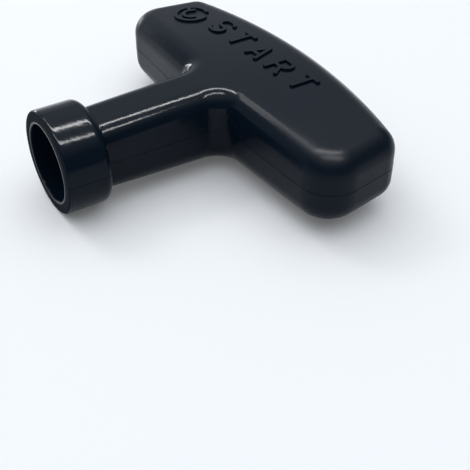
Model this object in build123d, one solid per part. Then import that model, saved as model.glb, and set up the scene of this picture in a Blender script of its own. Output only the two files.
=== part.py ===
"""Recoil starter handle: a moulded T-shaped grip with a round socket collar, millimetres.

The origin is the centre of the socket mouth, on the pull axis. The stem runs along +Y to the grip,
the grip lies along X and the lettered face looks up (+Z).
"""
from build123d import *
from math import sqrt
import os

os.makedirs("parts", exist_ok=True)

# collar round the socket
COLLAR_DIAMETER = 30.0
COLLAR_LENGTH = 13.4
COLLAR_FRONT_ROUND = 1.0
COLLAR_BACK_ROUND = 2.3
COLLAR_FLARE = 0.9

# plan outline at the mould parting plane
STEM_WIDTH_AT_COLLAR = 19.2
STEM_WIDTH_AT_GRIP = 19.7
STEM_ROOT = 2.0
GRIP_INNER_Y = 50.2
GRIP_INNER_LEAN = 0.048
GRIP_OUTER_Y = 88.0
GRIP_OUTER_RADIUS = 196.0
GRIP_HALF_LENGTH = 58.1
GRIP_END_LEAN = 0.173
INNER_CORNER = 10.0
OUTER_CORNER = 7.2
STEM_FILLET = 5.4

# thickness: shallow domes above and below the parting plane
HALF_THICKNESS = 12.15
DOME_RADIUS = 1120.0
DOME_CENTRE_Y = 70.0
EDGE_ROUND = 6.5
DRAFT_ANGLE = 0.8

# socket, rope hole and knot pocket
SOCKET_DIAMETER = 22.4
SOCKET_DEPTH = 9.5
SOCKET_LEAD_IN = 0.3
ROPE_DIAMETER = 4.5
ROPE_PLAY = 1.0
KNOT_DIAMETER = 12.0
KNOT_PLAY = 1.0
KNOT_POCKET_DEPTH = 14.0
POCKET_LEAD_IN = 0.8

# raised lettering
WORD_START_X = -28.4
LETTER_BASE_Y = 67.9
LETTER_HEIGHT = 9.1
LETTER_WIDTH = 6.7
LETTER_GAP = 4.15
LETTER_STROKE = 1.15
LETTER_RELIEF = 0.35
LETTER_ROOT = 2.5
SIGN_X = -39.0
SIGN_Y = 69.0
SIGN_DIAMETER = 11.6

# most that a round takes: a corner of the grip's end wall, the edge round of the outer corner
CORNER_SHARE = 0.4
EDGE_SHARE = 0.95

COLLAR_RADIUS = COLLAR_DIAMETER / 2
SOCKET_RADIUS = SOCKET_DIAMETER / 2
ROPE_HOLE_RADIUS = (ROPE_DIAMETER + ROPE_PLAY) / 2
POCKET_RADIUS = (KNOT_DIAMETER + KNOT_PLAY) / 2
DOME_CENTRE = Vector(0, DOME_CENTRE_Y, HALF_THICKNESS - DOME_RADIUS)


def mirrored(points):
    """Closed outline from the points of its right half."""
    return make_face(Polyline(*points, *[(-x, y) for x, y in reversed(points)], close=True))


def sharp_bar():
    """Grip seen from above, before its corners are rounded."""
    near = GRIP_INNER_Y + GRIP_INNER_LEAN * GRIP_HALF_LENGTH
    far = GRIP_OUTER_Y + GRIP_HALF_LENGTH
    ends = [(GRIP_HALF_LENGTH - GRIP_END_LEAN * (y - GRIP_INNER_Y), y) for y in (near, far)]
    bar = mirrored([(0, GRIP_INNER_Y), *ends])
    return bar & Pos(0, GRIP_OUTER_Y - GRIP_OUTER_RADIUS) * Circle(GRIP_OUTER_RADIUS)


def fitted_rounds():
    """Inner corner, outer corner and edge round, each no larger than the grip's end wall has room for."""
    near, far = sorted(v.Y for v in sharp_bar().vertices() if v.X > STEM_WIDTH_AT_GRIP)
    room = CORNER_SHARE * (far - near)
    outer = min(OUTER_CORNER, room)
    return min(INNER_CORNER, room), outer, min(EDGE_ROUND, EDGE_SHARE * outer)


def plan_outline():
    """T-shaped outline at the parting plane, its corners rounded."""
    inner_corner, outer_corner, _ = fitted_rounds()
    middle = (GRIP_INNER_Y + GRIP_OUTER_Y) / 2
    bar = sharp_bar()
    bar = fillet([v for v in bar.vertices() if v.Y > middle], outer_corner)
    bar = fillet([v for v in bar.vertices() if v.Y < middle and abs(v.X) > STEM_WIDTH_AT_GRIP], inner_corner)
    stem = [(STEM_WIDTH_AT_COLLAR / 2, STEM_ROOT), (STEM_WIDTH_AT_GRIP / 2, middle)]
    plan = bar + mirrored(stem)
    roots = [v for v in plan.vertices() if abs(abs(v.X) - STEM_WIDTH_AT_GRIP / 2) < 1 and v.Y > COLLAR_LENGTH]
    return fillet(roots, STEM_FILLET)


def dome(lift=0.0):
    """Ball whose top is the lettered face, raised by the lift."""
    return Pos(*DOME_CENTRE) * Sphere(DOME_RADIUS + lift)


def half_body():
    """Upper mould half: drafted walls under the dome with a rounded edge all round."""
    block = extrude(plan_outline(), 1.5 * HALF_THICKNESS, taper=DRAFT_ANGLE)
    half = block & dome()

    def on_dome(edge):
        return all(abs((edge @ t - DOME_CENTRE).length - DOME_RADIUS) < 0.01 for t in (0, 0.5, 1))

    rim = [e for e in half.edges() if on_dome(e) and (e @ 0.5).Y > STEM_ROOT + 0.1]
    return fillet(rim, fitted_rounds()[2])


def collar():
    """Round collar with a rounded front lip and back edge, turned about the pull axis."""
    front, back = COLLAR_FRONT_ROUND, COLLAR_BACK_ROUND
    profile = [
        Line((0, 0), (COLLAR_RADIUS - front, 0)),
        RadiusArc((COLLAR_RADIUS - front, 0), (COLLAR_RADIUS, front), -front),
        Line((COLLAR_RADIUS, front), (COLLAR_RADIUS, COLLAR_LENGTH - back)),
        RadiusArc((COLLAR_RADIUS, COLLAR_LENGTH - back), (COLLAR_RADIUS - back, COLLAR_LENGTH), -back),
        Line((COLLAR_RADIUS - back, COLLAR_LENGTH), (0, COLLAR_LENGTH)),
        Line((0, COLLAR_LENGTH), (0, 0)),
    ]
    return revolve(make_face(Curve() + profile), Axis.Y)


def flare(body):
    """Hollow fillet where the stem grows out of the back of the collar."""
    rings = []
    for grow, along in ((1.0, 0.0), (1 - sqrt(0.5), 1 - sqrt(0.5)), (0.0, 1.0)):
        across = Plane(origin=(0, COLLAR_LENGTH + along * COLLAR_FLARE, 0), x_dir=(1, 0, 0), z_dir=(0, 1, 0))
        ring = section(body, across)
        rings.append(offset(ring, grow * COLLAR_FLARE).face() if grow else ring.face())
    return loft(rings)


def passage():
    """Socket, rope hole and knot pocket as one turned cutting body."""
    pocket_floor = GRIP_OUTER_Y - KNOT_POCKET_DEPTH
    profile = [
        (0, -SOCKET_LEAD_IN), (SOCKET_RADIUS + 2 * SOCKET_LEAD_IN, -SOCKET_LEAD_IN),
        (SOCKET_RADIUS, SOCKET_LEAD_IN), (SOCKET_RADIUS, SOCKET_DEPTH), (ROPE_HOLE_RADIUS, SOCKET_DEPTH),
        (ROPE_HOLE_RADIUS, pocket_floor), (POCKET_RADIUS, pocket_floor),
        (POCKET_RADIUS, GRIP_OUTER_Y - POCKET_LEAD_IN),
        (POCKET_RADIUS + 2 * POCKET_LEAD_IN, GRIP_OUTER_Y + POCKET_LEAD_IN), (0, GRIP_OUTER_Y + POCKET_LEAD_IN),
    ]
    return revolve(make_face(Polyline(*profile, close=True)), Axis.Y)


def stroke(*lines):
    """Pen strokes of the lettering along the given lines and arcs."""
    return Sketch() + [trace(line, LETTER_STROKE) for line in lines]


def letter_s(w, h):
    r, side = h / 4, w / 2 - h / 4
    upper = [CenterArc((side, h - r), r, 15, 75), CenterArc((-side, h - r), r, 90, 180)]
    lower = [CenterArc((side, r), r, -90, 180), CenterArc((-side, r), r, 195, 75)]
    levels = [Line((-side, y), (side, y)) for y in (0, h / 2, h)]
    return stroke(*upper, *lower, *levels)


def letter_t(w, h):
    return stroke(Line((-w / 2, h), (w / 2, h)), Line((0, h), (0, 0)))


def letter_a(w, h):
    bar = h * 0.32
    reach = w / 2 * (1 - bar / h)
    return stroke(Line((-w / 2, 0), (0, h)), Line((0, h), (w / 2, 0)), Line((-reach, bar), (reach, bar)))


def letter_r(w, h):
    r = h * 0.26
    turn = w * 0.45 - r
    low = h - 2 * r
    bowl = [Line((-w / 2, h), (turn, h)), CenterArc((turn, h - r), r, -90, 180), Line((turn, low), (-w / 2, low))]
    return stroke(Line((-w / 2, 0), (-w / 2, h)), *bowl, Line((0, low), (w / 2, 0)))


def sign():
    """Ring with a turning arrow inside it, a plain mark for a pull start."""
    radius = (SIGN_DIAMETER - LETTER_STROKE) / 2
    ring = CenterArc((0, 0), radius, 70, 320)
    turn = CenterArc((0, 0), radius / 2, 160, 200)
    tip, barb = turn @ 0, radius * 0.36
    return stroke(ring, turn, Line(tip, tip + Vector(-barb, barb / 4)), Line(tip, tip + Vector(barb / 4, barb)))


def lettering():
    """Raised word and sign, cut to follow the dome."""
    w, h = LETTER_WIDTH - LETTER_STROKE, LETTER_HEIGHT - LETTER_STROKE
    base = LETTER_BASE_Y + LETTER_STROKE / 2
    flat = Pos(SIGN_X, SIGN_Y) * sign()
    for place, letter in enumerate((letter_s, letter_t, letter_a, letter_r, letter_t)):
        x = WORD_START_X + LETTER_WIDTH / 2 + place * (LETTER_WIDTH + LETTER_GAP)
        flat += Pos(x, base) * letter(w, h)
    return Pos(0, 0, HALF_THICKNESS - LETTER_ROOT) * extrude(flat, 2 * LETTER_ROOT) & dome(LETTER_RELIEF)


def handle():
    upper = half_body()
    body = upper + mirror(upper, Plane.XY)
    body = body + flare(body) + collar() + lettering() - passage()
    return body.solid()


starter_handle = handle()
export_step(starter_handle, "parts/handle.step")
print("volume", round(starter_handle.volume), "box", starter_handle.bounding_box())
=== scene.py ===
"""Looks of the recoil starter handle: one black moulding with its seam, on a pale studio floor."""

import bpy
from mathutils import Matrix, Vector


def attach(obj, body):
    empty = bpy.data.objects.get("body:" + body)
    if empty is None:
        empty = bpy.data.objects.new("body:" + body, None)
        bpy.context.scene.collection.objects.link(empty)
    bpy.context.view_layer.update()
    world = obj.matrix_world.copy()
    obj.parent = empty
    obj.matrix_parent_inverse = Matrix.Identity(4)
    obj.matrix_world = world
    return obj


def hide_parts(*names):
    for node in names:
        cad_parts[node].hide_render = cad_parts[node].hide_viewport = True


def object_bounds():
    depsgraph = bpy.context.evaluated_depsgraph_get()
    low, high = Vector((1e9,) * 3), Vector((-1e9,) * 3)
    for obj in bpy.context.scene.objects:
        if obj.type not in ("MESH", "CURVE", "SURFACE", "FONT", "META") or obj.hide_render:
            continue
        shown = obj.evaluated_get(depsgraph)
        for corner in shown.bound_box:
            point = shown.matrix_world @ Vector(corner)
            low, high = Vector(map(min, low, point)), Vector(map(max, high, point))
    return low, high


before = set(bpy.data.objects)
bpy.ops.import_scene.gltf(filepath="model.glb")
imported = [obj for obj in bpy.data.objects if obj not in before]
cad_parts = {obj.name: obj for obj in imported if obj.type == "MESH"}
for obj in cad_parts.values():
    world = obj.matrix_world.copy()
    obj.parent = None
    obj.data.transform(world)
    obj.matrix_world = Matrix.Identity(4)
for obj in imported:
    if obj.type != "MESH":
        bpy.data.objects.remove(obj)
CAD_BOX = [list(corner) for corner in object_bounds()]

import math
import bpy
import bmesh
import numpy as np
from bpy.props import FloatProperty, FloatVectorProperty, IntProperty, PointerProperty
from mathutils import Matrix, Vector
from mathutils.geometry import delaunay_2d_cdt

bl_info = {
    "name": "Recoil starter handle",
    "version": (1, 0, 0),
    "blender": (4, 5, 0),
    "location": "3D View > Sidebar > Handle",
    "description": "Builds a moulded pull handle, its mould seam and a studio stage",
    "category": "Object",
}

MM = 0.001

# the stem's two half widths are taken this far from the mouth, and this far behind the inner face
STEM_ROOT = 2.0 * MM
STEM_REACH = 19.0 * MM

# how far the stem starts inside the collar, then its rings: degrees of the flare's quarter turn, and
# shares of its radius from the flare's end on
COLLAR_BITE = 0.12 * MM
FLARE_TURNS = (85, 75, 65, 55, 45, 35, 25, 15, 7)
FLARE_SHARES = (1.0, 1.3, 2.0)

# the stem's fillet and the outer corner are divided finer than the rest of the outline
FILLET_FINENESS = 0.7
OUTER_FINENESS = 0.8

# rings of the body's upper half: shares of the wall's height, and steps of the edge round. Each ring is
# settled in a few rounds, because its height depends on the dome over it and its place on its height.
WALL_SHARES = (0.0, 0.1, 0.3, 0.5, 0.7, 0.88)
EDGE_STEPS = 19
SETTLE_ROUNDS = 4

# points of the domed caps: their spacing and the points across the stem's cut end. As shares of the
# spacing: the pitch on the flare's rows, the gap to the next row and the gap of the other rows. As a
# share of a row's pitch: the clearance to the rim.
CAP_SPACING = 1.6 * MM
CUT_POINTS = 15
FLARE_PITCH = 0.5
FIRST_GAP = 0.8
ROW_GAP = 0.87
RIM_CLEARANCE = 0.45

# points this near count as one when a cap is filled, and the least square of a span keeps a division safe
SAME_POINT_MM = 1e-5
LEAST_SQUARE = 1e-18

# the collar's extra rings stand this far from its rounds: on the lip, on the side at the front and at
# the back, and on the back face
COLLAR_LOOPS = (0.25 * MM, 0.3 * MM, 0.4 * MM, 0.3 * MM)

# points on a quarter round of the collar, and on the seam's line over it
COLLAR_STEPS = 11
SEAM_STEPS = 7

# small rounds and bevels inside the passage
LEAD_LOOP = 0.25 * MM
LEAD_STEPS = 5
SOCKET_LOOP = 1.0 * MM
SOCKET_ROUND = 0.6 * MM
ROPE_MOUTH = 0.5 * MM
ROPE_SWELL = 0.12 * MM
ROPE_END = (0.2 * MM, 0.3 * MM)
POCKET_FLOOR = 0.6 * MM
POCKET_LIP = (0.1 * MM, 0.05 * MM)

# vertices nearer than this become one, in a fresh mesh and in the finished piece
MERGE = 1e-7
MERGE_FINISHED = 2e-6

# edges that turn more than this stay sharp, and a finished piece with fewer faces than this has failed
SHARP_ANGLE = math.radians(32)
FEWEST_FACES = 10000

# letters: height of the A's bar, radius of the R's bowl and its reach as shares of height and width,
# and the gap at the ends of the S in degrees
A_BAR = 0.32
R_BOWL = 0.26
R_REACH = 0.45
S_GAP = 15

# sign: start and swing in degrees and spans of the ring and of the arrow, and the arrow's barb as a
# share of the ring's radius
SIGN_RING = (70, 320, 72)
SIGN_ARROW = (160, 200, 36)
SIGN_BARB = 0.36

# spans of an arc in a letter, and points that round a stroke's top edges
LETTER_SPANS = 18
SOFT_EDGE_POINTS = 3

# finish: stretch of the flow marks, noise values between which the gloss changes, depth over which the
# lip's worn face fades, width of its inner border, height of the grain and roughness of the floor
FLOW_STRETCH = (0.6, 1.4, 1.0)
RUB_SPREAD = (0.35, 0.7)
LIP_DEPTH = (0.1 * MM, 0.6 * MM)
LIP_BORDER = 0.3 * MM
GRAIN_HEIGHT = 0.02 * MM
FLOOR_ROUGHNESS = 0.9

# sky: where each part of its light fades, overhead and at the rim by the height of the direction that is
# looked in, on the left by its X
OVERHEAD_FADE = (0.45, 0.95)
LEFT_FADE = (-0.2, -0.8)
RIM_FADE = (0.02, 0.035)

# lamps: name, place in metres, direction of the long side, size, radiance, whether they light the floor
LAMPS = (
    ("strip_over", (-0.188, 0.133, 0.81), (0.61, 0.79, 0), (0.07, 0.75), 60.0, False),
    ("strip_right", (0.204, 0.035, 0.81), (0.61, 0.79, 0), (0.06, 0.69), 48.0, False),
    ("soft_left", (-0.64, -0.155, 0.74), (0.35, 0.9, 0.4), (0.2, 0.4), 5.0, True),
    ("glint_left", (-0.8, 0.0, 0.045), (0, 1, 0), (0.08, 0.3), 9.0, False),
)
LAMP_TARGET = Vector((0.005, 0.035, 0.011))

# half width of the floor in metres, the camera's sensor in millimetres and its nearest view in metres
FLOOR_REACH = 40.0
SENSOR_WIDTH = 36.0
CLIP_START = 0.01


def in_mm(name, text, value):
    """Size property in metres, its default given in millimetres."""
    return FloatProperty(name=name, description=text, default=value * MM, unit="LENGTH", precision=5)


def in_degrees(name, text, value):
    """Angle property, its default given in degrees."""
    return FloatProperty(name=name, description=text, default=math.radians(value), subtype="ANGLE")


def number(name, text, value, **limits):
    """Property that is a plain number."""
    return FloatProperty(name=name, description=text, default=value, **limits)


def tint(name, text, value, brightest=1.0):
    """Colour property."""
    return FloatVectorProperty(name=name, description=text, default=value, subtype="COLOR",
                               min=0, max=brightest)


class CollarSizes(bpy.types.PropertyGroup):
    """Round collar, its socket and the passage of the rope."""
    radius: in_mm("Radius", "Outer radius of the collar", 15.0)
    length: in_mm("Length", "Length of the collar along the pull axis", 13.4)
    front_round: in_mm("Front round", "Radius of the front lip", 1.0)
    back_round: in_mm("Back round", "Radius of the back edge", 2.3)
    flare: in_mm("Flare", "Hollow fillet between the collar and the stem", 0.9)
    socket_radius: in_mm("Socket radius", "Bore of the socket", 11.2)
    socket_depth: in_mm("Socket depth", "Depth of the socket floor", 9.5)
    lead_in: in_mm("Lead-in", "Round inside the mouth", 0.3)
    rope_radius: in_mm("Rope hole radius", "Bore for the rope", 2.75)
    pocket_radius: in_mm("Pocket radius", "Bore of the knot pocket", 6.5)
    pocket_depth: in_mm("Pocket depth", "Depth of the knot pocket", 14.0)
    pocket_bevel: in_mm("Pocket bevel", "Bevel at the pocket's mouth", 0.8)
    segments: IntProperty(name="Segments", description="Facets round the collar", default=144, min=24)


class GripSizes(bpy.types.PropertyGroup):
    """Stem and grip as seen from above, and their thickness."""
    stem_front: in_mm("Stem half width, collar", "Half width of the stem at the collar", 9.6)
    stem_back: in_mm("Stem half width, grip", "Half width of the stem at the grip", 9.85)
    inner_y: in_mm("Inner face", "Distance of the grip's inner face from the mouth", 50.2)
    inner_lean: number("Inner lean", "Rise of the inner face per unit of width", 0.048)
    outer_y: in_mm("Outer face", "Distance of the outer face from the mouth", 88.0)
    outer_radius: in_mm("Outer curve", "Radius of the outer face in plan", 196.0)
    half_length: in_mm("Half length", "Half length of the grip at its inner face", 58.1)
    end_lean: number("End lean", "Taper of the grip's ends per unit of depth", 0.173)
    inner_corner: in_mm("Inner corner", "Plan radius of the inner corners", 10.0)
    outer_corner: in_mm("Outer corner", "Plan radius of the outer corners", 7.2)
    stem_fillet: in_mm("Stem fillet", "Plan radius between the stem and the grip", 5.4)
    half_thickness: in_mm("Half thickness", "Height of the dome over the parting plane", 12.15)
    dome_radius: in_mm("Dome radius", "Radius of the lettered face", 1120.0)
    dome_y: in_mm("Dome centre", "Distance of the dome's top from the mouth", 70.0)
    edge_round: in_mm("Edge round", "Radius of the edges all round", 6.5)
    draft: in_degrees("Draft", "Draft of the walls", 0.8)
    step: in_mm("Step", "Spacing of the points along the outline", 0.55)


class LetterSizes(bpy.types.PropertyGroup):
    """Raised word and sign."""
    start_x: in_mm("Start", "Left edge of the word", -28.4)
    base_y: in_mm("Base line", "Distance of the base line from the mouth", 67.9)
    height: in_mm("Height", "Height of the letters", 9.1)
    width: in_mm("Width", "Width of a letter", 6.7)
    gap: in_mm("Gap", "Space between two letters", 4.15)
    stroke: in_mm("Stroke", "Width of the pen stroke", 1.15)
    relief: in_mm("Relief", "Height of the letters over the dome", 0.35)
    root: in_mm("Root", "How far a letter reaches into the body", 0.6)
    soft: in_mm("Soft edge", "Rounding of the letters' top edges", 0.12)
    sign_x: in_mm("Sign X", "Centre of the sign", -39.0)
    sign_y: in_mm("Sign Y", "Centre of the sign", 69.0)
    sign_size: in_mm("Sign size", "Diameter of the sign", 11.6)


class SeamSizes(bpy.types.PropertyGroup):
    """Fine groove where the two mould halves meet."""
    width: in_mm("Width", "Width of the seam's groove", 0.24)
    step: in_mm("Step", "Spacing of the rings along the seam", 0.8)
    unevenness: number("Unevenness", "Variation of the groove's size", 0.35, min=0, max=1)
    seed: IntProperty(name="Seed", description="Fixed seed of the variation", default=7)


class FinishLook(bpy.types.PropertyGroup):
    """Black moulded plastic, and the floor under it."""
    colour: tint("Plastic", "Colour of the moulded plastic", (0.0022, 0.0060, 0.0120))
    bloom: tint("Bloom", "Paler tone of the finely grained skin", (0.0036, 0.0085, 0.0160))
    roughness: number("Roughness", "Mean roughness of the skin", 0.13, min=0, max=1)
    rub: number("Rubbed", "Variation of the roughness", 0.03, min=0, max=0.2)
    hold: number("Held", "Roughness added where the fingers rub", 0.2, min=0, max=1)
    hold_start: in_mm("Hold start", "Distance from the stem's middle where the rubbing begins", 18.0)
    hold_end: in_mm("Hold end", "Distance from the stem's middle where the rubbing is full", 48.0)
    lip: number("Lip", "Roughness added on the worn face of the lip", 0.75, min=0, max=1)
    lip_start: in_mm("Lip start", "Distance from the pull axis where the worn face begins", 11.75)
    rub_scale: number("Rub scale", "Fineness of the rubbed patches", 140.0)
    flow_scale: number("Flow scale", "Fineness of the flow marks", 90.0)
    ripple: in_mm("Ripple", "Height of the faint ripple left by the mould", 0.022)
    ripple_scale: number("Ripple scale", "Fineness of the mould ripple", 800.0)
    grain: number("Grain", "Strength of the fine mould grain", 0.12, min=0, max=1)
    grain_scale: number("Grain scale", "Fineness of the mould grain", 2600.0)
    ior: number("Index", "Index of refraction", 1.20, min=1, max=2)
    floor: tint("Floor", "Colour of the floor", (0.88, 0.88, 0.88))
    floor_lift: number("Floor lift", "Brightness added to the floor as it is seen", 0.08, min=0, max=1)


class StageLook(bpy.types.PropertyGroup):
    """Camera and surroundings."""
    azimuth: in_degrees("Azimuth", "Camera direction round +Z", 57.795)
    elevation: in_degrees("Elevation", "Camera height angle", 38.896)
    roll: in_degrees("Roll", "Camera roll", -0.133)
    distance: in_mm("Distance", "From the aim point to the camera", 241.278)
    right: in_mm("Right", "Aim point right of the mouth's centre, in the picture plane", 51.798)
    down: in_mm("Down", "Aim point below the mouth's centre, in the picture plane", 19.653)
    lens: number("Lens", "Focal length for a sensor 36 mm wide", 67.099)
    sky: tint("Sky", "Colour of the surroundings", (0.95, 1.0, 1.06), brightest=2.0)
    horizon: number("Horizon", "Strength of the surroundings near the floor", 0.14)
    rim: number("Rim", "Strength added in a narrow band at the horizon", 0.8)
    overhead: number("Overhead", "Strength of the surroundings overhead", 1.5)
    left: number("Left", "Strength added on the left", 0.50)


class HandleSettings(bpy.types.PropertyGroup):
    """All settings of the handle."""
    collar: PointerProperty(type=CollarSizes)
    grip: PointerProperty(type=GripSizes)
    letters: PointerProperty(type=LetterSizes)
    seam: PointerProperty(type=SeamSizes)
    finish: PointerProperty(type=FinishLook)
    stage: PointerProperty(type=StageLook)


# plan outline

def rounded(before, at, after, radius):
    """Where a round touches the two lines that meet at a corner, first and last, and its centre."""
    a, b = (at - before).normalized(), (after - at).normalized()
    turn = a.angle_signed(b)
    reach = radius * math.tan(abs(turn) / 2)
    side = -1.0 if turn > 0 else 1.0
    first, last = at - a * reach, at + b * reach
    centre = first + Vector((-a.y, a.x)) * side * radius
    return first, last, centre


def line_points(first, last, step):
    """Evenly spaced points of a straight run with the inward normal on its left."""
    run = last - first
    count = max(1, round(run.length / step))
    normal = Vector((-run.y, run.x)).normalized()
    return [(first + run * (i / count), normal) for i in range(count)]


def arc_points(first, last, centre, step):
    """Evenly spaced points of a round with the inward normal on its left."""
    a, b = first - centre, last - centre
    swing = math.atan2(a.x * b.y - a.y * b.x, a.dot(b))
    radius = a.length
    count = max(4, round(abs(swing) * radius / step))
    start = math.atan2(a.y, a.x)
    made = []
    for i in range(count):
        angle = start + swing * i / count
        out = Vector((math.cos(angle), math.sin(angle)))
        made.append((centre + out * radius, -out if swing > 0 else out))
    return made


def stem_slope(grip):
    """Growth of the stem's half width per unit of distance from the mouth."""
    return (grip.stem_back - grip.stem_front) / (grip.inner_y + STEM_REACH - STEM_ROOT)


def stem_x(grip, y):
    """Half width of the stem at a distance from the mouth."""
    return grip.stem_front + stem_slope(grip) * (y - STEM_ROOT)


def sharp_corners(grip):
    """Corners of the right half before they are rounded: at the stem, at the end of the inner face,
    and a point past the outer face on the line of the grip's end."""
    lean, far = grip.inner_lean, grip.outer_y + grip.half_length
    root_x = stem_x(grip, grip.inner_y)
    tip_x = grip.half_length / (1 + grip.end_lean * lean)
    end_x = grip.half_length - grip.end_lean * (far - grip.inner_y)
    root = Vector((root_x, grip.inner_y + lean * root_x))
    tip = Vector((tip_x, grip.inner_y + lean * tip_x))
    return root, tip, Vector((end_x, far))


def outer_round(grip, tip, end, middle):
    """Round between the grip's end and its curved outer face: first and last point, and its centre."""
    along = (end - tip).normalized()
    inward = Vector((-along.y, along.x))
    foot = tip + inward * grip.outer_corner - middle
    reach = grip.outer_radius - grip.outer_corner
    travel = -foot.dot(along) + math.sqrt(foot.dot(along) ** 2 - foot.length_squared + reach ** 2)
    centre = middle + foot + along * travel
    last = middle + (centre - middle).normalized() * grip.outer_radius
    return centre - inward * grip.outer_corner, last, centre


def plan_outline(grip, stations):
    """Points of the outline at the parting plane and their inward normals, from the stem's right side
    round the grip to its left side. By the collar the points lie at the stations."""
    root, tip, end = sharp_corners(grip)
    start = Vector((stem_x(grip, stations[-1]), stations[-1]))
    middle = Vector((0, grip.outer_y - grip.outer_radius))
    stem_normal = Vector((-1, stem_slope(grip))).normalized()
    made = [(Vector((stem_x(grip, y), y)), stem_normal) for y in stations[:-1]]
    a, b, centre = rounded(start, root, tip, grip.stem_fillet)
    made += line_points(start, a, grip.step) + arc_points(a, b, centre, grip.step * FILLET_FINENESS)
    c, d, centre = rounded(root, tip, end, grip.inner_corner)
    made += line_points(b, c, grip.step) + arc_points(c, d, centre, grip.step)
    e, f, centre = outer_round(grip, tip, end, middle)
    made += line_points(d, e, grip.step) + arc_points(e, f, centre, grip.step * OUTER_FINENESS)
    top = Vector((0, grip.outer_y))
    made += arc_points(f, top, middle, grip.step)
    whole = made + [(top, Vector((0, -1)))]
    whole += [(Vector((-p.x, p.y)), Vector((-n.x, n.y))) for p, n in reversed(made)]
    return np.array([list(p) for p, n in whole]), np.array([list(n) for p, n in whole])


def dome_height(grip, xy):
    """Height of the lettered face over points in plan."""
    away = xy[..., 0] ** 2 + (xy[..., 1] - grip.dome_y) ** 2
    return grip.half_thickness - grip.dome_radius + np.sqrt(grip.dome_radius ** 2 - away)


def flare_stations(collar):
    """Distances from the mouth of the stem's rings along the flare, the first inside the collar."""
    end, r = collar.length, collar.flare
    along = [end + r * (1 - math.sin(math.radians(a))) for a in FLARE_TURNS]
    return [end - COLLAR_BITE] + along + [end + r * share for share in FLARE_SHARES]


def flare_rise(collar, y):
    """How far the flare stands out from the stem at a distance from the mouth."""
    r = collar.flare
    into = np.clip(collar.length + r - y, 0, r)
    return r - np.sqrt(r * r - into * into)


# meshes

def new_piece(name, vertices, faces):
    """Mesh object at the origin, linked into the scene."""
    mesh = bpy.data.meshes.new(name)
    mesh.from_pydata([tuple(v) for v in vertices], [], faces)
    mesh.validate()
    piece = bpy.data.objects.new(name, mesh)
    bpy.context.scene.collection.objects.link(piece)
    return piece


def tidy_mesh(piece, merge=MERGE):
    """Merges vertices that lie on each other and turns all faces outward."""
    made = bmesh.new()
    made.from_mesh(piece.data)
    bmesh.ops.remove_doubles(made, verts=made.verts, dist=merge)
    bmesh.ops.recalc_face_normals(made, faces=made.faces)
    made.to_mesh(piece.data)
    made.free()


def fill_holes(piece):
    """Closes each open border of a mesh with a face."""
    made = bmesh.new()
    made.from_mesh(piece.data)
    bmesh.ops.holes_fill(made, edges=[e for e in made.edges if e.is_boundary], sides=0)
    made.to_mesh(piece.data)
    made.free()


def evaluated_mesh(piece):
    """Plain mesh of an object as its modifiers leave it."""
    bpy.context.view_layer.update()
    graph = bpy.context.evaluated_depsgraph_get()
    return bpy.data.meshes.new_from_object(piece.evaluated_get(graph), depsgraph=graph)


def combine(piece, other, operation):
    """Adds or cuts another closed mesh and removes it."""
    modifier = piece.modifiers.new("combine", "BOOLEAN")
    modifier.operation = operation
    modifier.solver = "EXACT"
    modifier.object = other
    mesh = evaluated_mesh(piece)
    piece.modifiers.clear()
    piece.data = mesh
    bpy.data.objects.remove(other)


def cap_points(ring, rows):
    """Points inside a closed ring in plan: on the given rows by the collar, then on staggered rows."""
    low, high = ring.min(0), ring.max(0)
    levels = [(y, CAP_SPACING * FLARE_PITCH) for y in rows]
    y = max(rows) + CAP_SPACING * FIRST_GAP
    while y < high[1]:
        levels.append((y, CAP_SPACING))
        y += CAP_SPACING * ROW_GAP
    ahead = np.roll(ring, -1, 0)
    run = ahead - ring
    run_squared = np.maximum((run ** 2).sum(1), LEAST_SQUARE)
    inside = []
    for place, (y, pitch) in enumerate(levels):
        crossing = (ring[:, 1] > y) != (ahead[:, 1] > y)
        hits = ring[crossing, 0] + (y - ring[crossing, 1]) / run[crossing, 1] * run[crossing, 0]
        for x in np.arange(low[0] + (place % 2) * pitch / 2, high[0], pitch):
            if np.count_nonzero(hits > x) % 2 == 0:
                continue
            share = np.clip(((np.array([x, y]) - ring) * run).sum(1) / run_squared, 0, 1)
            nearest = np.hypot(*(ring + run * share[:, None] - (x, y)).T).min()
            if nearest > pitch * RIM_CLEARANCE:
                inside.append((x, y))
    return inside


def cap(rim, rows):
    """Points in plan and triangles of a cap, and which of its points are which points of the rim."""
    first, last = rim[0], rim[-1]
    cut = [first + (last - first) * t for t in np.linspace(0, 1, CUT_POINTS)[1:-1]][::-1]
    ring = np.vstack([rim, cut])
    flat = [Vector(p) / MM for p in ring] + [Vector(p) / MM for p in cap_points(ring, rows)]
    border = list(range(len(ring)))
    filled = delaunay_2d_cdt(flat, [], [border], 0, SAME_POINT_MM, True)
    points, _, triangles, origin, _, inside = filled
    triangles = [face for face, source in zip(triangles, inside) if source]
    on_rim = {new: old for new, olds in enumerate(origin) for old in olds if old < len(rim)}
    return np.array([list(p) for p in points]) * MM, triangles, on_rim


def wall_rings(grip, outline, inward, rise):
    """Rings of the upper half, from the parting plane up the drafted wall and round the edge. The rise
    moves them outward at the flare."""
    edge, slope = grip.edge_round, math.tan(grip.draft)
    turns = [("wall", share) for share in WALL_SHARES]
    turns += [("round", math.radians(a)) for a in np.linspace(0, 90, EDGE_STEPS)]
    rings = []
    for kind, value in turns:
        at = outline.copy()
        for _ in range(SETTLE_ROUNDS):
            top = dome_height(grip, at)
            if kind == "wall":
                z, inset, tilt = value * (top - edge), np.zeros(len(at)), 0.0
            else:
                z, inset, tilt = top - edge * (1 - math.sin(value)), edge * (1 - math.cos(value)), value
            at = outline + inward * (inset + slope * z)[:, None]
        flat = at - inward * (rise * math.cos(tilt))[:, None]
        rings.append(np.column_stack([flat, z + rise * math.sin(tilt)]))
    return rings


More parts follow.
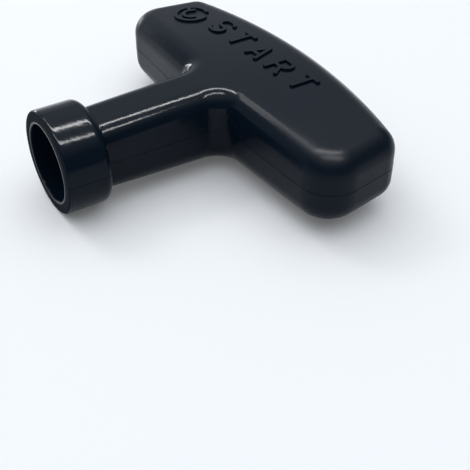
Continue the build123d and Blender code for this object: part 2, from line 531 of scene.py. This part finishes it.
def body_mesh(grip, collar):
    """Stem and grip as one closed mesh: rings round the outline, domed caps above and below."""
    stations = flare_stations(collar)
    outline, inward = plan_outline(grip, stations)
    rise = flare_rise(collar, np.maximum(outline[:, 1], collar.length))
    upper = wall_rings(grip, outline, inward, rise)
    levels = [ring * (1, 1, -1) for ring in reversed(upper[1:])] + upper
    count = len(outline)
    vertices = [tuple(v) for v in np.vstack(levels)]
    faces = []
    for level in range(len(levels) - 1):
        for i in range(count - 1):
            a = level * count + i
            faces.append((a, a + 1, a + count + 1, a + count))
    points, triangles, on_rim = cap(upper[-1][:, :2], stations[1:])
    z = dome_height(grip, points) + flare_rise(collar, np.maximum(points[:, 1], collar.length))
    top_ring = (len(levels) - 1) * count
    for base, sign in ((top_ring, 1.0), (0, -1.0)):
        index = {}
        for new in range(len(points)):
            if new in on_rim:
                index[new] = base + on_rim[new]
            else:
                index[new] = len(vertices)
                vertices.append((points[new][0], points[new][1], sign * z[new]))
        for face in triangles:
            ids = [index[v] for v in face]
            faces.append(tuple(ids) if sign > 0 else tuple(reversed(ids)))
    piece = new_piece("stem_and_grip", vertices, faces)
    fill_holes(piece)
    tidy_mesh(piece)
    return piece


def turned(name, profile, segments):
    """Closed body turned about the pull axis from (radius, distance) points, the first and last on the
    axis. The half facet in the angle keeps the other vertices out of the parting plane."""
    vertices, faces, rings = [], [], []
    for radius, along in profile:
        if radius == 0:
            rings.append([len(vertices)] * segments)
            vertices.append((0, along, 0))
            continue
        rings.append(range(len(vertices), len(vertices) + segments))
        for i in range(segments):
            angle = math.tau * (i + 0.5) / segments
            vertices.append((radius * math.cos(angle), along, radius * math.sin(angle)))
    for one, two in zip(rings, rings[1:]):
        for i in range(segments):
            j = (i + 1) % segments
            face = [one[i], one[j], two[j], two[i]]
            faces.append([v for k, v in enumerate(face) if v not in face[:k]])
    piece = new_piece(name, vertices, faces)
    tidy_mesh(piece)
    return piece


def quarter_turn(count):
    """Angles of a quarter turn, evenly spaced."""
    return [math.radians(a) for a in np.linspace(0, 90, count)]


def front_lip(collar, count):
    """Points (radius, distance) round the collar's front lip."""
    r = collar.front_round
    start = collar.radius - r
    return [(start + r * math.sin(a), r - r * math.cos(a)) for a in quarter_turn(count)]


def back_edge(collar, count):
    """Points (radius, distance) round the collar's back edge."""
    r = collar.back_round
    start, along = collar.radius - r, collar.length - r
    return [(start + r * math.cos(a), along + r * math.sin(a)) for a in quarter_turn(count)]


def collar_mesh(collar):
    """Full round collar, before the passage is cut through it."""
    radius, front, back, end = collar.radius, collar.front_round, collar.back_round, collar.length
    on_lip, after_lip, before_back, on_back = COLLAR_LOOPS
    profile = [(0, 0), (collar.socket_radius, 0), (radius - front - on_lip, 0)]
    profile += front_lip(collar, COLLAR_STEPS)
    profile += [(radius, front + after_lip), (radius, end / 2), (radius, end - back - before_back)]
    profile += back_edge(collar, COLLAR_STEPS)
    profile += [(radius - back - on_back, end), (0, end)]
    return turned("collar", profile, collar.segments)


def passage_mesh(collar, grip):
    """Socket, rope hole and knot pocket as one cutting body."""
    wall, lead, floor = collar.socket_radius, collar.lead_in, collar.socket_depth
    seat, mouth = grip.outer_y - collar.pocket_depth, grip.outer_y - collar.pocket_bevel
    rope, pocket, bevel = collar.rope_radius, collar.pocket_radius, collar.pocket_bevel
    turns = quarter_turn(LEAD_STEPS)
    profile = [(0, -lead), (wall + lead, -lead)]
    profile += [(wall + lead * (1 - math.sin(a)), lead * (1 - math.cos(a))) for a in turns]
    profile += [(wall, lead + LEAD_LOOP), (wall, floor - SOCKET_LOOP)]
    profile += [(wall - SOCKET_ROUND * (1 - math.cos(a)), floor - SOCKET_ROUND * (1 - math.sin(a)))
                for a in turns]
    profile += [
        (rope + ROPE_MOUTH, floor),
        (rope + ROPE_SWELL, floor + ROPE_SWELL),
        (rope, floor + ROPE_MOUTH),
        (rope, seat - ROPE_END[1]),
        (rope + ROPE_END[0], seat),
        (pocket - POCKET_FLOOR, seat),
        (pocket, seat + POCKET_FLOOR),
        (pocket, mouth - LEAD_LOOP),
        (pocket + POCKET_LIP[0], mouth + POCKET_LIP[1]),
        (pocket + 2 * bevel, grip.outer_y + bevel),
        (0, grip.outer_y + bevel),
    ]
    return turned("passage", profile, collar.segments)


# node trees

def new_tree(name, inputs):
    """Geometry tree with a geometry going in and out and the named inputs, what it is given, and its
    output node."""
    tree = bpy.data.node_groups.new(name, "GeometryNodeTree")
    tree.is_modifier = True
    tree.interface.new_socket(name="Geometry", in_out="INPUT", socket_type="NodeSocketGeometry")
    tree.interface.new_socket(name="Geometry", in_out="OUTPUT", socket_type="NodeSocketGeometry")
    for label, kind in inputs:
        tree.interface.new_socket(name=label, in_out="INPUT", socket_type="NodeSocket" + kind)
    return tree, tree.nodes.new("NodeGroupInput").outputs, tree.nodes.new("NodeGroupOutput")


def add(tree, kind, settings=(), **feeds):
    """New node of the kind with its properties set. A feed is named after its socket, or after the
    socket's number, and is another node's socket or a plain value."""
    node = tree.nodes.new(kind)
    for label, value in settings:
        setattr(node, label, value)
    for label, feed in feeds.items():
        place = label[1:]
        socket = node.inputs[int(place) if place.isdigit() else label.replace("_", " ")]
        if isinstance(feed, bpy.types.NodeSocket):
            tree.links.new(feed, socket)
        else:
            socket.default_value = feed
    return node


def maths(tree, operation, a, b):
    """Result of a Math node."""
    return add(tree, "ShaderNodeMath", [("operation", operation)], _0=a, _1=b).outputs[0]


def vectors(tree, operation, a, b):
    """Result of a Vector Math node that gives a vector."""
    return add(tree, "ShaderNodeVectorMath", [("operation", operation)], _0=a, _1=b).outputs[0]


def eased(tree, value, start, end, low, high):
    """Goes smoothly from low to high while the value goes from start to end."""
    node = add(tree, "ShaderNodeMapRange", [("interpolation_type", "SMOOTHSTEP")], Value=value,
               From_Min=start, From_Max=end, To_Min=low, To_Max=high)
    return node.outputs[0]


def close_tree(tree, geometry, material, output):
    """Ends a tree in real geometry with its material."""
    real = add(tree, "GeometryNodeRealizeInstances", Geometry=geometry)
    painted = add(tree, "GeometryNodeSetMaterial", Geometry=real.outputs[0], Material=material)
    tree.links.new(painted.outputs[0], output.inputs[0])


def pen_line(name, lines):
    """Curve object of straight spans through lists of points in plan."""
    curve = bpy.data.curves.new(name, "CURVE")
    curve.dimensions = "3D"
    for line in lines:
        spline = curve.splines.new("POLY")
        spline.points.add(len(line) - 1)
        for point, place in zip(spline.points, line):
            point.co = (*place, 0, 1)
    holder = bpy.data.objects.new(name, curve)
    bpy.context.scene.collection.objects.link(holder)
    return holder


def grown(holder, tree, values):
    """Plain mesh that the tree makes from the holder, which is removed."""
    modifier = holder.modifiers.new(tree.name, "NODES")
    modifier.node_group = tree
    for item in tree.interface.items_tree:
        if item.in_out == "INPUT" and item.name in values:
            modifier[item.identifier] = values[item.name]
    piece = bpy.data.objects.new(holder.name + "_mesh", evaluated_mesh(holder))
    bpy.context.scene.collection.objects.link(piece)
    bpy.data.objects.remove(holder)
    return piece


def stroke_tree():
    """Pen strokes with soft top edges, fused where they cross and lifted onto the dome."""
    tree, read, output = new_tree("pen_strokes", (
        ("Width", "Float"), ("Relief", "Float"), ("Root", "Float"), ("Soft edge", "Float"),
        ("Dome centre", "Vector"), ("Dome radius", "Float"), ("Material", "Material")))
    height = maths(tree, "ADD", read["Relief"], read["Root"])
    middle = maths(tree, "MULTIPLY", maths(tree, "SUBTRACT", read["Relief"], read["Root"]), 0.5)
    box = add(tree, "GeometryNodeCurvePrimitiveQuadrilateral", Width=read["Width"], Height=height)
    lifted = add(tree, "GeometryNodeTransform", Geometry=box.outputs[0],
                 Translation=add(tree, "ShaderNodeCombineXYZ", Y=middle).outputs[0])
    at = add(tree, "GeometryNodeInputPosition").outputs[0]
    upper = maths(tree, "GREATER_THAN", add(tree, "ShaderNodeSeparateXYZ", Vector=at).outputs["Y"], 0.0)
    profile = add(tree, "GeometryNodeFilletCurve", [("mode", "POLY")], Curve=lifted.outputs[0],
                  Count=SOFT_EDGE_POINTS, Radius=maths(tree, "MULTIPLY", upper, read["Soft edge"]))
    upright = add(tree, "GeometryNodeSetCurveNormal", [("mode", "Z_UP")], Curve=read["Geometry"])
    swept = add(tree, "GeometryNodeCurveToMesh", Curve=upright.outputs[0],
                Profile_Curve=profile.outputs[0], Fill_Caps=True)
    fused = add(tree, "GeometryNodeMeshBoolean", [("operation", "UNION"), ("solver", "EXACT")],
                _1=swept.outputs[0], Self_Intersection=True)
    flat = vectors(tree, "MULTIPLY", at, (1, 1, 0))
    away = vectors(tree, "SUBTRACT", flat, vectors(tree, "MULTIPLY", read["Dome centre"], (1, 1, 0)))
    square = add(tree, "ShaderNodeVectorMath", [("operation", "DOT_PRODUCT")], _0=away, _1=away)
    radius_square = maths(tree, "MULTIPLY", read["Dome radius"], read["Dome radius"])
    rise = maths(tree, "SQRT", maths(tree, "SUBTRACT", radius_square, square.outputs["Value"]), 0.0)
    centre = add(tree, "ShaderNodeSeparateXYZ", Vector=read["Dome centre"]).outputs
    lift = maths(tree, "ADD", rise, centre["Z"])
    laid = add(tree, "GeometryNodeSetPosition", Geometry=fused.outputs[0],
               Offset=add(tree, "ShaderNodeCombineXYZ", Z=lift).outputs[0])
    close_tree(tree, laid.outputs[0], read["Material"], output)
    return tree


# lettering

def arc(centre, radius, start, swing, count=LETTER_SPANS):
    """Points of an arc from its start angle, in degrees."""
    angles = [math.radians(start + swing * i / count) for i in range(count + 1)]
    return [(centre[0] + radius * math.cos(a), centre[1] + radius * math.sin(a)) for a in angles]


def glyph(letter, w, h):
    """Pen lines of the letter T, A, R or S standing on the base line, centred."""
    if letter == "T":
        return [[(-w / 2, h), (w / 2, h)], [(0, h), (0, 0)]]
    if letter == "A":
        bar = h * A_BAR
        reach = w / 2 * (1 - bar / h)
        return [[(-w / 2, 0), (0, h)], [(0, h), (w / 2, 0)], [(-reach, bar), (reach, bar)]]
    if letter == "R":
        r = h * R_BOWL
        turn, low = w * R_REACH - r, h - 2 * r
        bowl = [(-w / 2, h)] + arc((turn, h - r), r, 90, -180) + [(-w / 2, low)]
        return [[(-w / 2, 0), (-w / 2, h)], bowl, [(0, low), (w / 2, 0)]]
    r, side = h / 4, w / 2 - h / 4
    upper = arc((side, h - r), r, S_GAP, 90 - S_GAP) + arc((-side, h - r), r, 90, 180)
    lower = arc((side, r), r, 90, -180) + arc((-side, r), r, 270, S_GAP - 90)
    return [upper + lower]


def word_lines(letters):
    """Pen lines of the word's letters, one after the other along the grip."""
    w, h = letters.width - letters.stroke, letters.height - letters.stroke
    base = letters.base_y + letters.stroke / 2
    lines = []
    for place, letter in enumerate("START"):
        x = letters.start_x + letters.width / 2 + place * (letters.width + letters.gap)
        lines += [[(px + x, py + base) for px, py in line] for line in glyph(letter, w, h)]
    return lines


def sign_lines(letters):
    """Ring with a turning arrow inside it."""
    radius = (letters.sign_size - letters.stroke) / 2
    centre = (letters.sign_x, letters.sign_y)
    ring = arc(centre, radius, *SIGN_RING)
    arrow = arc(centre, radius / 2, *SIGN_ARROW)
    barb = radius * SIGN_BARB
    x, y = arrow[0]
    return [ring, arrow, [(x, y), (x - barb, y + barb / 4)], [(x, y), (x + barb / 4, y + barb)]]


def lettering_mesh(settings, material):
    """Raised word and sign, ready to be fused with the grip."""
    letters, grip = settings.letters, settings.grip
    holder = pen_line("lettering", word_lines(letters) + sign_lines(letters))
    return grown(holder, stroke_tree(), {
        "Width": letters.stroke,
        "Relief": letters.relief,
        "Root": letters.root,
        "Soft edge": letters.soft,
        "Dome centre": (0.0, grip.dome_y, grip.half_thickness - grip.dome_radius),
        "Dome radius": grip.dome_radius,
        "Material": material,
    })


# seam

def seam_line(collar, grip):
    """Line where the two mould halves meet, from the mouth's right side round the grip to its left."""
    right = [(collar.socket_radius + collar.lead_in * 0.5, 0.0)]
    right += front_lip(collar, SEAM_STEPS) + back_edge(collar, SEAM_STEPS)
    outline, inward = plan_outline(grip, flare_stations(collar))
    rise = flare_rise(collar, np.maximum(outline[:, 1], collar.length))
    around = outline - inward * rise[:, None]
    around = [tuple(p) for p in around if p[1] > collar.length]
    return [right + around + [(-x, y) for x, y in reversed(right)]]


def seam_tree():
    """Thin square rod of slightly uneven size along the seam, the cutter of its groove."""
    tree, read, output = new_tree("mould_seam", (
        ("Width", "Float"), ("Step", "Float"), ("Unevenness", "Float"), ("Seed", "Int"),
        ("Material", "Material")))
    spaced = add(tree, "GeometryNodeResampleCurve", [("mode", "LENGTH")], Curve=read["Geometry"],
                 Length=read["Step"])
    smallest = maths(tree, "SUBTRACT", 1.0, read["Unevenness"])
    size = add(tree, "FunctionNodeRandomValue", [("data_type", "FLOAT")], _2=smallest, _3=1.0,
               Seed=read["Seed"])
    square = add(tree, "GeometryNodeCurvePrimitiveQuadrilateral", Width=read["Width"],
                 Height=read["Width"])
    rod = add(tree, "GeometryNodeCurveToMesh", Curve=spaced.outputs[0], Profile_Curve=square.outputs[0],
              Scale=size.outputs[1], Fill_Caps=True)
    close_tree(tree, rod.outputs[0], read["Material"], output)
    return tree


def seam_mesh(settings, material):
    """Rod along the seam, ready to be cut out of the handle."""
    seam = settings.seam
    rod = grown(pen_line("seam", seam_line(settings.collar, settings.grip)), seam_tree(), {
        "Width": seam.width,
        "Step": seam.step,
        "Unevenness": seam.unevenness,
        "Seed": seam.seed,
        "Material": material,
    })
    tidy_mesh(rod)
    return rod


# finish

def skin_roughness(tree, look, place):
    """Rubbed patches, duller towards the ends of the grip and on the worn face of the lip."""
    rubbed = add(tree, "ShaderNodeTexNoise", Vector=place, Scale=look.rub_scale, Detail=6.0,
                 Roughness=0.65)
    gloss = add(tree, "ShaderNodeMapRange", Value=rubbed.outputs[0],
                From_Min=RUB_SPREAD[0], From_Max=RUB_SPREAD[1],
                To_Min=look.roughness - look.rub, To_Max=look.roughness + look.rub)
    axes = add(tree, "ShaderNodeSeparateXYZ", Vector=place).outputs
    outward = add(tree, "ShaderNodeMath", [("operation", "ABSOLUTE")], _0=axes["X"]).outputs[0]
    held = eased(tree, outward, look.hold_start, look.hold_end, 0.0, look.hold)
    front = eased(tree, axes["Y"], *LIP_DEPTH, look.lip, 0.0)
    from_axis = add(tree, "ShaderNodeVectorMath", [("operation", "LENGTH")], _0=place).outputs["Value"]
    outer = eased(tree, from_axis, look.lip_start, look.lip_start + LIP_BORDER, 0.0, 1.0)
    dull_ends = maths(tree, "ADD", gloss.outputs[0], held)
    return maths(tree, "ADD", dull_ends, maths(tree, "MULTIPLY", front, outer))


def plastic(look):
    """Black moulded plastic: fine grain, faint flow marks and rubbed patches in its gloss."""
    material = bpy.data.materials.new("black_moulded_plastic")
    material.use_nodes = True
    tree = material.node_tree
    shader = tree.nodes["Principled BSDF"]
    shader.inputs["IOR"].default_value = look.ior
    place = add(tree, "ShaderNodeTexCoord").outputs["Object"]
    drawn = add(tree, "ShaderNodeMapping", Vector=place, Scale=FLOW_STRETCH)
    flow = add(tree, "ShaderNodeTexNoise", Vector=drawn.outputs[0], Scale=look.flow_scale, Detail=4.0)
    tone = add(tree, "ShaderNodeMix", [("data_type", "RGBA")], Factor=flow.outputs[0])
    tone.inputs["A"].default_value = (*look.colour, 1)
    tone.inputs["B"].default_value = (*look.bloom, 1)
    tree.links.new(tone.outputs["Result"], shader.inputs["Base Color"])
    tree.links.new(skin_roughness(tree, look, place), shader.inputs["Roughness"])
    ripple = add(tree, "ShaderNodeTexNoise", Vector=place, Scale=look.ripple_scale, Detail=1.0)
    wavy = add(tree, "ShaderNodeBump", Strength=1.0, Distance=look.ripple, Height=ripple.outputs[0])
    grain = add(tree, "ShaderNodeTexNoise", Vector=place, Scale=look.grain_scale, Detail=2.0)
    bump = add(tree, "ShaderNodeBump", Strength=look.grain, Distance=GRAIN_HEIGHT,
               Height=grain.outputs[0], Normal=wavy.outputs[0])
    tree.links.new(bump.outputs[0], shader.inputs["Normal"])
    return material


def floor_finish(look):
    """Pale matt floor, a little brighter where it is seen or reflected than where it lights."""
    material = bpy.data.materials.new("pale_floor")
    material.use_nodes = True
    tree = material.node_tree
    shader = tree.nodes["Principled BSDF"]
    shader.inputs["Base Color"].default_value = (*look.floor, 1)
    shader.inputs["Roughness"].default_value = FLOOR_ROUGHNESS
    shader.inputs["Specular IOR Level"].default_value = 0.0
    shader.inputs["Emission Color"].default_value = (1, 1, 1, 1)
    ray = add(tree, "ShaderNodeLightPath").outputs
    seen = maths(tree, "ADD", ray["Is Camera Ray"], ray["Is Glossy Ray"])
    seen_or_through = maths(tree, "ADD", seen, ray["Is Transmission Ray"])
    glow = maths(tree, "MULTIPLY", seen_or_through, look.floor_lift)
    tree.links.new(glow, shader.inputs["Emission Strength"])
    return material


# stage

def hang_lamp(context, name, place, along, size, radiance, lights_floor):
    """Rectangular lamp that faces the handle."""
    lamp = bpy.data.lights.new(name, "AREA")
    lamp.shape = "RECTANGLE"
    lamp.size, lamp.size_y = size
    lamp.energy = radiance * math.pi * size[0] * size[1]
    holder = bpy.data.objects.new(name, lamp)
    context.scene.collection.objects.link(holder)
    back = (Vector(place) - LAMP_TARGET).normalized()
    side = Vector(along).cross(back).normalized()
    turn = Matrix((side, back.cross(side), back)).transposed().to_4x4()
    holder.matrix_world = Matrix.Translation(place) @ turn
    holder.visible_diffuse = lights_floor


def sky(stage):
    """Soft studio surroundings: bright overhead, half bright on the left, dim near the horizon, with a
    narrow brighter band where they meet the floor."""
    world = bpy.data.worlds.new("studio")
    world.use_nodes = True
    tree = world.node_tree
    direction = add(tree, "ShaderNodeTexCoord").outputs["Generated"]
    toward = add(tree, "ShaderNodeSeparateXYZ", Vector=direction).outputs
    over = eased(tree, toward["Z"], *OVERHEAD_FADE, stage.horizon, stage.overhead)
    left = eased(tree, toward["X"], *LEFT_FADE, 0.0, stage.left)
    rim = eased(tree, toward["Z"], *RIM_FADE, stage.rim, 0.0)
    strength = maths(tree, "ADD", maths(tree, "ADD", over, left), rim)
    light = tree.nodes["Background"]
    light.inputs["Color"].default_value = (*stage.sky, 1)
    tree.links.new(strength, light.inputs["Strength"])
    return world


def set_camera(context, stage):
    """Camera at the viewing angle, aimed beside the mouth's centre."""
    az, el = stage.azimuth, stage.elevation
    back = Vector((math.sin(az) * math.cos(el), -math.cos(az) * math.cos(el), math.sin(el)))
    right = Matrix.Rotation(stage.roll, 3, back) @ Vector((math.cos(az), math.sin(az), 0))
    up = back.cross(right)
    aim = right * stage.right - up * stage.down
    data = bpy.data.cameras.new("camera")
    data.sensor_width = SENSOR_WIDTH
    data.lens = stage.lens
    data.clip_start = CLIP_START
    camera = bpy.data.objects.new("camera", data)
    context.scene.collection.objects.link(camera)
    camera_axes = Matrix((right, up, back)).transposed().to_4x4()
    camera.matrix_world = Matrix.Translation(aim + back * stage.distance) @ camera_axes
    context.scene.camera = camera


# operators

class HANDLE_OT_moulding(bpy.types.Operator):
    """Build the moulded handle: collar, stem, grip and raised lettering in one piece"""
    bl_idname = "handle.moulding"
    bl_label = "Moulded handle"

    def execute(self, context):
        settings = context.scene.handle_settings
        grip, collar = settings.grip, settings.collar
        material = plastic(settings.finish)
        piece = body_mesh(grip, collar)
        piece.name = piece.data.name = "starter_handle"
        combine(piece, collar_mesh(collar), "UNION")
        combine(piece, lettering_mesh(settings, material), "UNION")
        combine(piece, passage_mesh(collar, grip), "DIFFERENCE")
        combine(piece, seam_mesh(settings, material), "DIFFERENCE")
        tidy_mesh(piece, MERGE_FINISHED)
        if len(piece.data.polygons) < FEWEST_FACES:
            raise RuntimeError("the moulding lost its faces")
        piece.data.shade_smooth()
        piece.data.set_sharp_from_angle(angle=SHARP_ANGLE)
        piece.data.materials.clear()
        piece.data.materials.append(material)
        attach(piece, "root")
        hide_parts("handle")
        return {"FINISHED"}


class HANDLE_OT_stage(bpy.types.Operator):
    """Lay the floor, hang the lamps and set up the camera"""
    bl_idname = "handle.stage"
    bl_label = "Studio stage"

    def execute(self, context):
        settings = context.scene.handle_settings
        low = min(CAD_BOX[0][2], CAD_BOX[1][2])
        far = FLOOR_REACH
        spread = ((-far, -far), (far, -far), (far, far), (-far, far))
        floor = new_piece("studio_floor", [(x, y, low) for x, y in spread], [(0, 1, 2, 3)])
        floor.data.materials.append(floor_finish(settings.finish))
        for lamp in LAMPS:
            hang_lamp(context, *lamp)
        context.scene.world = sky(settings.stage)
        set_camera(context, settings.stage)
        context.scene.view_settings.view_transform = "Standard"
        return {"FINISHED"}


class HANDLE_PT_panel(bpy.types.Panel):
    """Sidebar list of the handle's pieces"""
    bl_idname = "HANDLE_PT_panel"
    bl_label = "Starter handle"
    bl_space_type = "VIEW_3D"
    bl_region_type = "UI"
    bl_category = "Handle"

    def draw(self, context):
        for operator in (HANDLE_OT_moulding, HANDLE_OT_stage):
            self.layout.operator(operator.bl_idname)


CLASSES = (CollarSizes, GripSizes, LetterSizes, SeamSizes, FinishLook, StageLook, HandleSettings,
           HANDLE_OT_moulding, HANDLE_OT_stage, HANDLE_PT_panel)


def register():
    for kind in CLASSES:
        bpy.utils.register_class(kind)
    bpy.types.Scene.handle_settings = PointerProperty(type=HandleSettings)


def unregister():
    del bpy.types.Scene.handle_settings
    for kind in reversed(CLASSES):
        bpy.utils.unregister_class(kind)


def main():
    register()
    bpy.ops.handle.moulding()
    bpy.ops.handle.stage()


if __name__ == "__main__":
    main()
